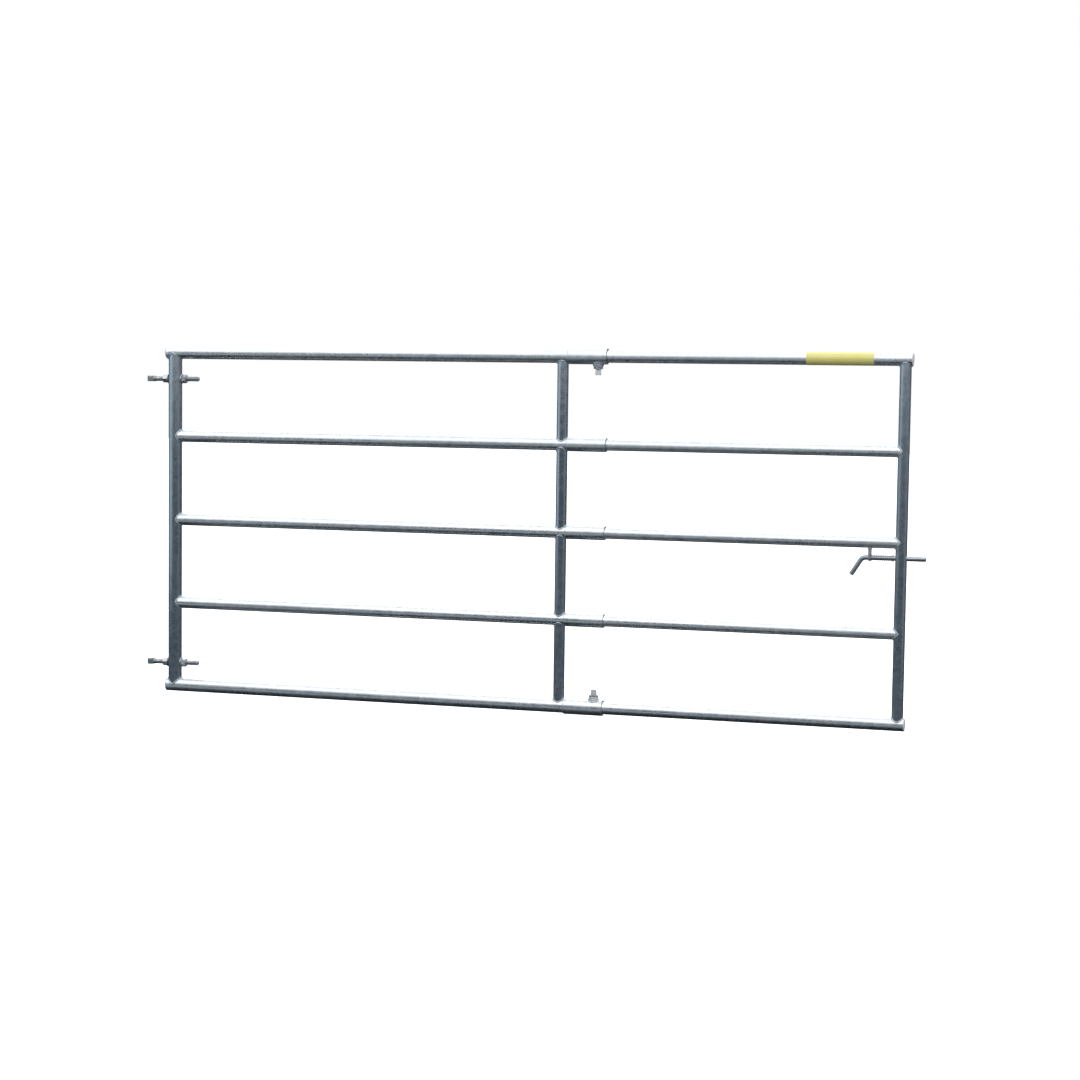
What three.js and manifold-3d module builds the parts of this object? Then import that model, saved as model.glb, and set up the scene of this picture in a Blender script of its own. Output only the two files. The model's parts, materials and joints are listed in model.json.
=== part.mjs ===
// Extending five-rail tubular field gate, in millimetres, +Z up.
// X runs from the hinge axis towards the latch, Y from the front of the gate to its back.
// The origin lies on the hinge axis, at the underside of the lower hinge eye.
//
// The fixed frame (hinge stile, five rails, middle upright, guide sleeves) hangs on two eye bolts.
// The sliding frame (five smaller rails, latch stile) telescopes in the fixed rails and is held by
// two lock screws. A sprung bolt in the latch stile shoots past the end of the gate.
import * as THREE from "three";
import { mergeVertices } from "three/addons/utils/BufferGeometryUtils.js";
import Module from "manifold-3d";

const wasm = await Module();
wasm.setup();

// ---------------------------------------------------------------- driving dimensions
const GAP = 0.3; // between pieces that touch or are welded together
const SIDES = 24; // facets round a tube

// Rails: heights of their axes above the bottom rail's axis
const RAIL_PITCH = 263.9;
const RAILS = ["bottom", "lower", "middle", "upper", "top"];
const railHeight = (i) => i * RAIL_PITCH;
const isOuter = (i) => i === 0 || i === RAILS.length - 1;

// Tubes: outer and inner radius. The outer pair of rails is one size up from the three between.
const FIXED_OUTER = { ro: 21.2, ri: 19.7 };
const FIXED_INNER = { ro: 19.0, ri: 17.5 };
const SLIDING_OUTER = { ro: 19.0, ri: 17.5 };
const SLIDING_INNER = { ro: 16.85, ri: 15.35 };
const SLEEVE_OUTER = { ro: 24.15, ri: 21.5 };
const SLEEVE_INNER = { ro: 21.2, ri: 19.3 };
const HINGE_STILE = { ro: 21.2, ri: 19.2 };
const MIDDLE_UPRIGHT = { ro: 16.85, ri: 15.35 };
const LATCH_STILE = { ro: 16.85, ri: 14.85 };

// Stations along X, from the hinge stile's axis
const MIDDLE_X = 1273.5;
const LATCH_X = 2295;
const RAIL_HINGE_END = -24; // open end of the top and bottom rails, before the plug
const RAIL_LATCH_END = 2314;
const FIXED_RAIL_END = 1402; // inside the mouth of the guide sleeve
const SLEEVE_START = 1292;
const SLEEVE_END = 1412;
const SLIDING_START = 850; // hidden ends of the sliding rails
const LOCK_X = 1383;

// End plugs
const PLUG_FLANGE = 3;
const PLUG_SPIGOT = 12;

// Hinge eye bolts, M16
const EYE_OFFSET = 83; // from the stile's axis to the eye's axis
const EYE = { ro: 12.7, ri: 8.5, height: 18 };
const HINGE_ROD_R = 7.9;
const HINGE_ROD_END = 81; // beyond the stile's axis
const HINGE_HOLE_R = 8.6;
const HINGE_Z = { lower: 71, upper: 972 };
const NUT_FLATS = 24;
const NUT_BORE_R = 8.25;
const HINGE_NUT_HEIGHT = 14.8;
const WASHER = { ro: 15, ri: 8.75, thickness: 3 };

// Lock screws, M16 with a square head, in nuts welded to the outer guide sleeves
const LOCK_NUT_TOP = 14; // above the sleeve's crown
const LOCK_SKIRT = { foot: 17, shoulder: 12.6, rise: 7 };
const LOCK_HOLE_R = 8.9;
const LOCK_TIP = 19.65; // from the rail's axis: just off the sliding rail
const LOCK_HEAD = { flats: 17, height: 16, start: 39.7 };

// Latch
const BOLT_Z = 482.8;
const BOLT_R = 7;
const BOLT_TIP_X = 2367;
const BOLT_CORNER_X = 2183;
const BOLT_BEND_R = 18;
const HANDLE_TIP = { x: 2151, z: 432 };
const BOLT_CLEAR_R = 7.6; // holes that the bolt turns and slides in
const LUG = { x: 2200.5, thickness: 8, halfWidth: 10 };
const PIN = { x: 2275, r: 2, length: 20 };
const SPRING_WASHER = { ro: 10.5, ri: 7.6, thickness: 1.5 };
const SPRING = { meanR: 8.3, wireR: 0.8, turns: 12 };

// Label band
const LABEL = { start: 2009, end: 2206, ri: 19.1, ro: 19.4 };

// ---------------------------------------------------------------- helpers
const HALF = Math.PI / 2;
const v2 = (x, y) => new THREE.Vector2(x, y);

// A geometry as a solid: only positions, seams merged, collapsed faces dropped, faces turned out.
function solid(geometry) {
  const bare = new THREE.BufferGeometry();
  bare.setAttribute("position", geometry.getAttribute("position").clone());
  if (geometry.index) bare.setIndex(geometry.index.clone());
  const merged = mergeVertices(bare, 1e-4);
  const source = merged.index.array;
  const faces = [];
  for (let i = 0; i < source.length; i += 3) {
    const [a, b, c] = [source[i], source[i + 1], source[i + 2]];
    if (a !== b && b !== c && c !== a) faces.push(a, b, c);
  }
  const build = (list) =>
    new wasm.Manifold(
      new wasm.Mesh({
        numProp: 3,
        vertProperties: new Float32Array(merged.attributes.position.array),
        triVerts: new Uint32Array(list),
      }),
    );
  const made = build(faces);
  if (made.volume() > 0) return made;
  for (let i = 0; i < faces.length; i += 3)
    [faces[i + 1], faces[i + 2]] = [faces[i + 2], faces[i + 1]];
  return build(faces);
}

// A solid as a drawable geometry.
function geometryOf(made) {
  const mesh = made.getMesh();
  const count = mesh.vertProperties.length / mesh.numProp;
  const position = new Float32Array(count * 3);
  for (let i = 0; i < count; i++)
    for (let k = 0; k < 3; k++)
      position[3 * i + k] = mesh.vertProperties[mesh.numProp * i + k];
  const g = new THREE.BufferGeometry();
  g.setAttribute("position", new THREE.BufferAttribute(position, 3));
  g.setIndex(new THREE.BufferAttribute(new Uint32Array(mesh.triVerts), 1));
  g.computeVertexNormals();
  return g;
}

// Lathe geometries are turned about Y: lay that axis along X, Y or Z.
function along(geometry, axis) {
  if (axis === "x") geometry.rotateZ(-HALF);
  if (axis === "z") geometry.rotateX(HALF);
  return geometry;
}

// A hollow tube or ring centred on the origin.
function ring({ ro, ri }, length, axis, sides = SIDES) {
  const h = length / 2;
  const profile = [v2(ri, -h), v2(ro, -h), v2(ro, h), v2(ri, h), v2(ri, -h)];
  return along(new THREE.LatheGeometry(profile, sides), axis);
}

// A solid bar centred on the origin.
function bar(r, length, axis, sides = SIDES) {
  return along(new THREE.CylinderGeometry(r, r, length, sides, 1), axis);
}

// A polygon with a round hole in it, extruded along Z from 0 to height.
function prism(corners, height, holeR = 0, holeSides = 16) {
  const shape = new THREE.Shape(corners);
  if (holeR > 0) {
    const hole = [];
    for (let i = 0; i < holeSides; i++) {
      const a = (-2 * Math.PI * i) / holeSides;
      hole.push(v2(holeR * Math.sin(a), holeR * Math.cos(a)));
    }
    shape.holes.push(new THREE.Path(hole));
  }
  return new THREE.ExtrudeGeometry(shape, {
    depth: height,
    bevelEnabled: false,
  });
}

function hexagon(flats) {
  const r = flats / 2 / Math.cos(Math.PI / 6);
  return Array.from({ length: 6 }, (_, i) =>
    v2(r * Math.cos((i * Math.PI) / 3), r * Math.sin((i * Math.PI) / 3)),
  );
}

// A path given by its stations, so that an extrusion has a section exactly at each of them.
class StationPath extends THREE.Curve {
  constructor(stations) {
    super();
    this.stations = stations;
  }
  getPoint(t) {
    const last = this.stations.length - 1;
    const i = Math.min(last - 1, Math.floor(t * last + 1e-9));
    return this.stations[i]
      .clone()
      .lerp(this.stations[i + 1], t * last - i);
  }
  getPointAt(u) {
    return this.getPoint(u);
  }
  getTangentAt(u) {
    const last = this.stations.length - 1;
    const i = Math.round(u * last);
    return this.stations[Math.min(last, i + 1)]
      .clone()
      .sub(this.stations[Math.max(0, i - 1)])
      .normalize();
  }
}

function swept(stations, r, sides) {
  const section = new THREE.Shape(
    Array.from({ length: sides }, (_, i) =>
      v2(
        r * Math.cos((2 * Math.PI * i) / sides),
        r * Math.sin((2 * Math.PI * i) / sides),
      ),
    ),
  );
  return new THREE.ExtrudeGeometry(section, {
    steps: stations.length - 1,
    extrudePath: new StationPath(stations),
    bevelEnabled: false,
  });
}

// ---------------------------------------------------------------- materials
const galvanised = () =>
  new THREE.MeshStandardMaterial({
    color: 0xaeb6bb,
    roughness: 0.42,
    metalness: 0.9,
  });
const platedHardware = () =>
  new THREE.MeshStandardMaterial({
    color: 0x9aa0a4,
    roughness: 0.35,
    metalness: 0.95,
  });
const springSteel = () =>
  new THREE.MeshStandardMaterial({
    color: 0x7d8388,
    roughness: 0.3,
    metalness: 0.95,
  });
const plugPlastic = () =>
  new THREE.MeshStandardMaterial({
    color: 0x858a8c,
    roughness: 0.6,
    metalness: 0,
  });
const labelVinyl = () =>
  new THREE.MeshStandardMaterial({
    color: 0xd9c21a,
    roughness: 0.45,
    metalness: 0,
  });

const gate = new THREE.Group();
const hingeFrame = new THREE.Group();
const slideFrame = new THREE.Group();
const latch = new THREE.Group();
gate.add(hingeFrame, slideFrame);
slideFrame.add(latch);

// The group's origin is the hinge axis at the underside of the lower eye. Everything below is
// measured from the hinge stile's axis and the bottom rail's axis.
const UNDERSIDE = HINGE_Z.lower - EYE.height / 2;
for (const frame of [hingeFrame, slideFrame])
  frame.position.set(EYE_OFFSET, 0, -UNDERSIDE);

function piece(group, name, geometry, material, x = 0, y = 0, z = 0) {
  const mesh = new THREE.Mesh(geometry, material);
  mesh.name = name;
  mesh.position.set(x, y, z);
  group.add(mesh);
  return mesh;
}

// ---------------------------------------------------------------- fixed rails
// The top and bottom rails run past the hinge stile. The three between are fish-mouthed onto it.
RAILS.forEach((name, i) => {
  const tube = isOuter(i) ? FIXED_OUTER : FIXED_INNER;
  const start = isOuter(i) ? RAIL_HINGE_END : 0;
  const length = FIXED_RAIL_END - start;
  const middle = start + length / 2;
  let rail = solid(ring(tube, length, "x"));
  if (isOuter(i)) {
    // the lock screw's hole: under the top rail, on top of the bottom rail
    const side = i === 0 ? 1 : -1;
    rail = rail.subtract(
      solid(
        bar(LOCK_HOLE_R, 12, "z", 16).translate(
          LOCK_X - middle,
          0,
          side * tube.ro,
        ),
      ),
    );
  } else {
    rail = rail.subtract(
      solid(
        bar(HINGE_STILE.ro + GAP, 4 * tube.ro, "z").translate(-middle, 0, 0),
      ),
    );
    // what lies on the far side of the stile's axis goes with the cut
    rail = rail
      .decompose()
      .reduce((a, b) => (a.volume() > b.volume() ? a : b));
  }
  piece(
    hingeFrame,
    `fixed_${name}_rail`,
    geometryOf(rail),
    galvanised(),
    middle,
    0,
    railHeight(i),
  );
});

// ---------------------------------------------------------------- guide sleeves
RAILS.forEach((name, i) => {
  const tube = isOuter(i) ? SLEEVE_OUTER : SLEEVE_INNER;
  const length = SLEEVE_END - SLEEVE_START;
  const middle = SLEEVE_START + length / 2;
  let sleeve = solid(ring(tube, length, "x"));
  if (isOuter(i)) {
    const side = i === 0 ? 1 : -1;
    sleeve = sleeve.subtract(
      solid(
        bar(LOCK_HOLE_R, 12, "z", 16).translate(
          LOCK_X - middle,
          0,
          side * tube.ro,
        ),
      ),
    );
  }
  piece(
    hingeFrame,
    `${name}_guide_sleeve`,
    geometryOf(sleeve),
    galvanised(),
    middle,
    0,
    railHeight(i),
  );
});

// ---------------------------------------------------------------- uprights
// A vertical tube fish-mouthed between two rails.
function upright(tube, lowZ, highZ, lowR, highR) {
  const middle = (lowZ + highZ) / 2;
  const length = highZ - lowZ;
  return solid(ring(tube, length, "z"))
    .subtract(
      solid(bar(lowR + GAP, 4 * tube.ro, "x").translate(0, 0, lowZ - middle)),
    )
    .subtract(
      solid(bar(highR + GAP, 4 * tube.ro, "x").translate(0, 0, highZ - middle)),
    )
    .decompose()
    .reduce((a, b) => (a.volume() > b.volume() ? a : b));
}

{
  const [low, high] = [railHeight(0), railHeight(4)];
  const middle = (low + high) / 2;
  let stile = upright(
    HINGE_STILE,
    low,
    high,
    FIXED_OUTER.ro,
    FIXED_OUTER.ro,
  );
  for (const z of Object.values(HINGE_Z))
    stile = stile.subtract(
      solid(
        bar(HINGE_HOLE_R, 60, "x", 16).translate(0, 0, z - middle),
      ),
    );
  piece(
    hingeFrame,
    "hinge_stile",
    geometryOf(stile),
    galvanised(),
    0,
    0,
    middle,
  );
}

["bottom", "lower", "upper", "top"].forEach((name, i) => {
  const radius = (k) => (isOuter(k) ? FIXED_OUTER.ro : FIXED_INNER.ro);
  piece(
    hingeFrame,
    `middle_upright_${name}`,
    geometryOf(
      upright(
        MIDDLE_UPRIGHT,
        railHeight(i),
        railHeight(i + 1),
        radius(i),
        radius(i + 1),
      ),
    ),
    galvanised(),
    MIDDLE_X,
    0,
    (railHeight(i) + railHeight(i + 1)) / 2,
  );
});

{
  const [low, high] = [railHeight(0), railHeight(4)];
  const middle = (low + high) / 2;
  const stile = upright(
    LATCH_STILE,
    low,
    high,
    SLIDING_OUTER.ro,
    SLIDING_OUTER.ro,
  ).subtract(
    solid(bar(BOLT_CLEAR_R, 60, "x", 16).translate(0, 0, BOLT_Z - middle)),
  );
  piece(
    slideFrame,
    "latch_stile",
    geometryOf(stile),
    galvanised(),
    LATCH_X,
    0,
    middle,
  );
}

// ---------------------------------------------------------------- sliding rails
RAILS.forEach((name, i) => {
  const tube = isOuter(i) ? SLIDING_OUTER : SLIDING_INNER;
  const end = isOuter(i) ? RAIL_LATCH_END : LATCH_X;
  const length = end - SLIDING_START;
  const middle = SLIDING_START + length / 2;
  let rail = solid(ring(tube, length, "x"));
  if (!isOuter(i))
    rail = rail
      .subtract(
        solid(
          bar(LATCH_STILE.ro + GAP, 4 * tube.ro, "z").translate(
            LATCH_X - middle,
            0,
            0,
          ),
        ),
      )
      .decompose()
      .reduce((a, b) => (a.volume() > b.volume() ? a : b));
  piece(
    slideFrame,
    `sliding_${name}_rail`,
    geometryOf(rail),
    galvanised(),
    middle,
    0,
    railHeight(i),
  );
});

// ---------------------------------------------------------------- end plugs
// A flange as wide as the tube and a spigot inside it, pointing along +X out of the tube.
function plug(tube) {
  const s = tube.ri - GAP;
  const profile = [
    v2(0, -PLUG_SPIGOT),
    v2(s, -PLUG_SPIGOT),
    v2(s, GAP),
    v2(tube.ro, GAP),
    v2(tube.ro, PLUG_FLANGE - 1),
    v2(tube.ro - 1.6, PLUG_FLANGE),
    v2(0, PLUG_FLANGE),
  ];
  return geometryOf(
    solid(along(new THREE.LatheGeometry(profile, SIDES), "x")),
  );
}
for (const [name, i] of [
  ["bottom", 0],
  ["top", 4],
]) {
  piece(
    hingeFrame,
    `${name}_hinge_end_plug`,
    plug(FIXED_OUTER),
    plugPlastic(),
    RAIL_HINGE_END,
    0,
    railHeight(i),
  ).rotation.z = Math.PI;
  piece(
    slideFrame,
    `${name}_latch_end_plug`,
    plug(SLIDING_OUTER),
    plugPlastic(),
    RAIL_LATCH_END,
    0,
    railHeight(i),
  );
}

// ---------------------------------------------------------------- hinge eye bolts
function eyeBolt() {
  const start = EYE.ri + 2;
  const length = EYE_OFFSET + HINGE_ROD_END - start;
  return geometryOf(
    solid(bar(EYE.ro, EYE.height, "z"))
      .add(
        solid(
          bar(HINGE_ROD_R, length, "x", 16).translate(
            start + length / 2,
            0,
            0,
          ),
        ),
      )
      .subtract(solid(bar(EYE.ri, EYE.height + 4, "z", 16))),
  );
}
const hingeNut = () =>
  geometryOf(
    solid(
      prism(hexagon(NUT_FLATS), HINGE_NUT_HEIGHT, NUT_BORE_R)
        .translate(0, 0, -HINGE_NUT_HEIGHT / 2)
        .rotateY(HALF),
    ),
  );
for (const [name, z] of Object.entries(HINGE_Z)) {
  piece(
    hingeFrame,
    `${name}_hinge_eye_bolt`,
    eyeBolt(),
    platedHardware(),
    -EYE_OFFSET,
    0,
    z,
  );
  const washerX = HINGE_STILE.ro + GAP + WASHER.thickness / 2;
  const nutX =
    HINGE_STILE.ro + 2 * GAP + WASHER.thickness + HINGE_NUT_HEIGHT / 2;
  for (const [side, sign] of [
    ["outer", -1],
    ["inner", 1],
  ]) {
    piece(
      hingeFrame,
      `${name}_hinge_${side}_washer`,
      geometryOf(solid(ring(WASHER, WASHER.thickness, "x", 20))),
      platedHardware(),
      sign * washerX,
      0,
      z,
    );
    piece(
      hingeFrame,
      `${name}_hinge_${side}_nut`,
      hingeNut(),
      platedHardware(),
      sign * nutX,
      0,
      z,
    );
  }
}

// ---------------------------------------------------------------- lock nuts and lock screws
// Both are drawn standing on top of a sleeve, with Z measured from the rail's axis.
function lockNut() {
  const crown = SLEEVE_OUTER.ro;
  const foot = crown - 8;
  const hex = prism(hexagon(NUT_FLATS), crown + LOCK_NUT_TOP - foot);
  const skirt = [
    v2(0, foot),
    v2(LOCK_SKIRT.foot, foot),
    v2(LOCK_SKIRT.foot, crown - 3),
    v2(LOCK_SKIRT.shoulder, crown + LOCK_SKIRT.rise),
    v2(0, crown + LOCK_SKIRT.rise),
  ];
  return geometryOf(
    solid(hex.translate(0, 0, foot))
      .add(solid(along(new THREE.LatheGeometry(skirt, 20), "z")))
      .subtract(solid(bar(crown + GAP, 60, "x")))
      .subtract(solid(bar(NUT_BORE_R, 120, "z", 16))),
  );
}
function lockScrew() {
  const shankTop = LOCK_HEAD.start + 1;
  const shank = [
    v2(0, LOCK_TIP),
    v2(6, LOCK_TIP),
    v2(HINGE_ROD_R, LOCK_TIP + 1.9),
    v2(HINGE_ROD_R, shankTop),
    v2(0, shankTop),
  ];
  const h = LOCK_HEAD.flats / 2;
  const square = [v2(h, h), v2(-h, h), v2(-h, -h), v2(h, -h)];
  const trim = [
    v2(0, LOCK_HEAD.start),
    v2(11.4, LOCK_HEAD.start),
    v2(11.4, LOCK_HEAD.start + LOCK_HEAD.height - 2),
    v2(8.6, LOCK_HEAD.start + LOCK_HEAD.height),
    v2(0, LOCK_HEAD.start + LOCK_HEAD.height),
  ];
  return geometryOf(
    solid(
      prism(square, LOCK_HEAD.height + 2).translate(
        0,
        0,
        LOCK_HEAD.start - 1,
      ),
    )
      .intersect(solid(along(new THREE.LatheGeometry(trim, 16), "z")))
      .add(solid(along(new THREE.LatheGeometry(shank, 16), "z"))),
  );
}
for (const [name, i, turn] of [
  ["bottom", 0, 0],
  ["top", 4, Math.PI],
]) {
  for (const [what, geometry] of [
    ["lock_nut", lockNut()],
    ["lock_screw", lockScrew()],
  ])
    piece(
      hingeFrame,
      `${name}_${what}`,
      geometry,
      platedHardware(),
      LOCK_X,
      0,
      railHeight(i),
    ).rotation.x = turn;
}

// ---------------------------------------------------------------- latch
latch.position.set(0, 0, BOLT_Z);

// Lug: a flat plate with a round foot, notched onto the underside of the middle rail.
{
  const toRail = railHeight(2) - BOLT_Z;
  const w = LUG.halfWidth;
  const outline = [v2(w, toRail - 7), v2(-w, toRail - 7)];
  for (let i = 0; i <= 12; i++) {
    const a = Math.PI + (Math.PI * i) / 12;
    outline.push(v2(w * Math.cos(a), w * Math.sin(a)));
  }
  const plate = prism(outline, LUG.thickness, BOLT_CLEAR_R)
    .rotateX(HALF)
    .rotateZ(HALF); // the outline's X and Y become Y and Z, and its depth X
  piece(
    latch,
    "latch_lug",
    geometryOf(
      solid(plate).subtract(
        solid(bar(SLIDING_INNER.ro + GAP, 40, "x").translate(0, 0, toRail)),
      ),
    ),
    galvanised(),
    LUG.x,
    0,
    0,
  );
}

// Bolt: a round bar with its tail bent down into a handle, cross-drilled for the pin.
{
  const corner = new THREE.Vector3(BOLT_CORNER_X, 0, 0);
  const tip = new THREE.Vector3(HANDLE_TIP.x, 0, HANDLE_TIP.z - BOLT_Z);
  const out = tip.clone().sub(corner).normalize();
  const turn = Math.acos(-out.x);
  const tangent = BOLT_BEND_R * Math.tan(turn / 2);
  const centre = new THREE.Vector3(
    BOLT_CORNER_X + tangent,
    0,
    -BOLT_BEND_R,
  );
  const stations = [
    new THREE.Vector3(BOLT_TIP_X, 0, 0),
    new THREE.Vector3(BOLT_CORNER_X + tangent, 0, 0),
  ];
  for (let i = 1; i <= 6; i++) {
    const a = HALF + (turn * i) / 6;
    stations.push(
      new THREE.Vector3(
        centre.x + BOLT_BEND_R * Math.cos(a),
        0,
        centre.z + BOLT_BEND_R * Math.sin(a),
      ),
    );
  }
  stations.push(tip);
  const origin = new THREE.Vector3(PIN.x, 0, 0);
  for (const s of stations) s.sub(origin);
  piece(
    latch,
    "latch_bolt",
    geometryOf(
      solid(swept(stations, BOLT_R, 16)).subtract(
        solid(bar(PIN.r + GAP, 30, "y", 12)),
      ),
    ),
    galvanised(),
    PIN.x,
    0,
    0,
  );
  piece(
    latch,
    "bolt_pin",
    geometryOf(solid(bar(PIN.r, PIN.length, "y", 12))),
    platedHardware(),
    PIN.x,
    0,
    0,
  );
}

// Spring and its washer, between the lug and the pin.
{
  const washerX = PIN.x - PIN.r - GAP - SPRING_WASHER.thickness / 2;
  piece(
    latch,
    "spring_washer",
    geometryOf(
      solid(ring(SPRING_WASHER, SPRING_WASHER.thickness, "x", 16)),
    ),
    platedHardware(),
    washerX,
    0,
    0,
  );
  const start = LUG.x + LUG.thickness + GAP + SPRING.wireR;
  const end = washerX - SPRING_WASHER.thickness / 2 - GAP - SPRING.wireR;
  const perTurn = 10;
  const steps = SPRING.turns * perTurn;
  const closed = 1.9; // pitch of the first and last turn
  const stations = [];
  for (let i = 0; i <= steps; i++) {
    const turns = i / perTurn;
    const active = SPRING.turns - 2;
    const pitch = (end - start - 2 * closed) / active;
    const x =
      turns < 1
        ? closed * turns
        : turns > SPRING.turns - 1
          ? end - start - closed * (SPRING.turns - turns)
          : closed + pitch * (turns - 1);
    const a = 2 * Math.PI * turns;
    stations.push(
      new THREE.Vector3(
        x,
        SPRING.meanR * Math.sin(a),
        SPRING.meanR * Math.cos(a),
      ),
    );
  }
  piece(
    latch,
    "latch_spring",
    geometryOf(solid(swept(stations, SPRING.wireR, 6))),
    springSteel(),
    start,
    0,
    0,
  );
}

// ---------------------------------------------------------------- label band
piece(
  slideFrame,
  "label_band",
  geometryOf(solid(ring(LABEL, LABEL.end - LABEL.start, "x"))),
  labelVinyl(),
  (LABEL.start + LABEL.end) / 2,
  0,
  railHeight(4),
);

export default gate;
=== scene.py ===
"""Looks of the extending livestock panel gate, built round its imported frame. Metres, +Z up."""

import json
import math

import bpy
import numpy as np
from mathutils import Matrix, Vector


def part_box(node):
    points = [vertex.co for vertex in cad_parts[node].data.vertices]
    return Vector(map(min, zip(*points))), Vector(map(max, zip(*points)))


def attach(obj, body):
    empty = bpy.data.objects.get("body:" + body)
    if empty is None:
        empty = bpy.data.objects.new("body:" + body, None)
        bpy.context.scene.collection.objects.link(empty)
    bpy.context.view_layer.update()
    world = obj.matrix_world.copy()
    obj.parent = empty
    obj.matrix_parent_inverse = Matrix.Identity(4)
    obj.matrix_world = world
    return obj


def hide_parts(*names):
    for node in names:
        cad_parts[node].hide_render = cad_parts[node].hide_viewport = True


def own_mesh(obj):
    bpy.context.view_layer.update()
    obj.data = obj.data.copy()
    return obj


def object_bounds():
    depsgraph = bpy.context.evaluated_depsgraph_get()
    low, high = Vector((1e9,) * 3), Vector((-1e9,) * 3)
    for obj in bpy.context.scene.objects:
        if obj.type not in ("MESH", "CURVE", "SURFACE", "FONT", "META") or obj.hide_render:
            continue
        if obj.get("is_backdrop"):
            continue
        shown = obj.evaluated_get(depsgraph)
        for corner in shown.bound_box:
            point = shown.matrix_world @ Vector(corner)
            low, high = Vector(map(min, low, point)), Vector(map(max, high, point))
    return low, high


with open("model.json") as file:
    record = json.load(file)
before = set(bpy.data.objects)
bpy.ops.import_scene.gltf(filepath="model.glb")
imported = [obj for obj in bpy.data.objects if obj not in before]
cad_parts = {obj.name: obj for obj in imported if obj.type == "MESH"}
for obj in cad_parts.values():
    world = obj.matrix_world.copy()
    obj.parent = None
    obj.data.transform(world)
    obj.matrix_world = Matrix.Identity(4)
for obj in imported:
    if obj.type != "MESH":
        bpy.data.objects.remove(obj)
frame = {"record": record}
CAD_LO, CAD_HI = (list(v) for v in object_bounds())

MM = 0.001
TAU = 2 * math.pi
BODY = {n: b for b, ns in frame["record"]["behaviour"]["bodies"].items() for n in ns}


def centre(node):
    lo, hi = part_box(node)
    return (np.array(lo) + np.array(hi)) / 2


def size(node):
    lo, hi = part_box(node)
    return np.array(hi) - np.array(lo)


# ------------------------------------------------------------------ materials
class Nodes:
    """A material's node tree with short calls for the nodes used here."""

    def __init__(self, name):
        self.mat = bpy.data.materials.new(name)
        self.mat.use_nodes = True
        self.tree = self.mat.node_tree
        self.tree.nodes.clear()
        self.out = self.add("ShaderNodeOutputMaterial")
        self.bsdf = self.add("ShaderNodeBsdfPrincipled")
        self.link(self.bsdf.outputs[0], self.out.inputs[0])
        self.coord = self.add("ShaderNodeTexCoord").outputs["Object"]

    def add(self, kind, **props):
        n = self.tree.nodes.new(kind)
        for k, v in props.items():
            setattr(n, k, v)
        return n

    def link(self, a, b):
        self.tree.links.new(a, b)

    def set(self, **values):
        for k, v in values.items():
            self.bsdf.inputs[k.replace("_", " ")].default_value = v

    def scaled(self, x, y, z):
        m = self.add("ShaderNodeMapping")
        m.inputs["Scale"].default_value = (x, y, z)
        self.link(self.coord, m.inputs["Vector"])
        return m.outputs[0]

    def noise(self, scale, detail=3.0, rough=0.55, vector=None, distortion=0.0):
        n = self.add("ShaderNodeTexNoise")
        n.inputs["Scale"].default_value = scale
        n.inputs["Detail"].default_value = detail
        n.inputs["Roughness"].default_value = rough
        n.inputs["Distortion"].default_value = distortion
        self.link(vector or self.coord, n.inputs["Vector"])
        return n.outputs["Fac"]

    def voronoi(self, scale, feature="F1", vector=None, out="Color"):
        n = self.add("ShaderNodeTexVoronoi", feature=feature)
        n.inputs["Scale"].default_value = scale
        self.link(vector or self.coord, n.inputs["Vector"])
        return n.outputs[out]

    def remap(self, value, a, b, c, d, clamp=True):
        n = self.add("ShaderNodeMapRange", clamp=clamp)
        for k, v in zip(("From Min", "From Max", "To Min", "To Max"), (a, b, c, d)):
            n.inputs[k].default_value = v
        self.link(value, n.inputs["Value"])
        return n.outputs[0]

    def math(self, op, a, b=None):
        n = self.add("ShaderNodeMath", operation=op)
        for i, v in enumerate((a, b)):
            if v is None:
                continue
            if isinstance(v, (int, float)):
                n.inputs[i].default_value = v
            else:
                self.link(v, n.inputs[i])
        return n.outputs[0]

    def mix(self, fac, a, b, blend="MIX"):
        n = self.add("ShaderNodeMix", data_type="RGBA", blend_type=blend)
        for sock, v in ((n.inputs[0], fac), (n.inputs[6], a), (n.inputs[7], b)):
            if isinstance(v, (int, float)):
                sock.default_value = v
            elif isinstance(v, tuple):
                sock.default_value = (*v, 1.0) if len(v) == 3 else v
            else:
                self.link(v, sock)
        return n.outputs[2]

    def bump(self, height, strength, distance, normal=None):
        n = self.add("ShaderNodeBump")
        n.inputs["Strength"].default_value = strength
        n.inputs["Distance"].default_value = distance
        self.link(height, n.inputs["Height"])
        if normal:
            self.link(normal, n.inputs["Normal"])
        return n.outputs[0]


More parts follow.
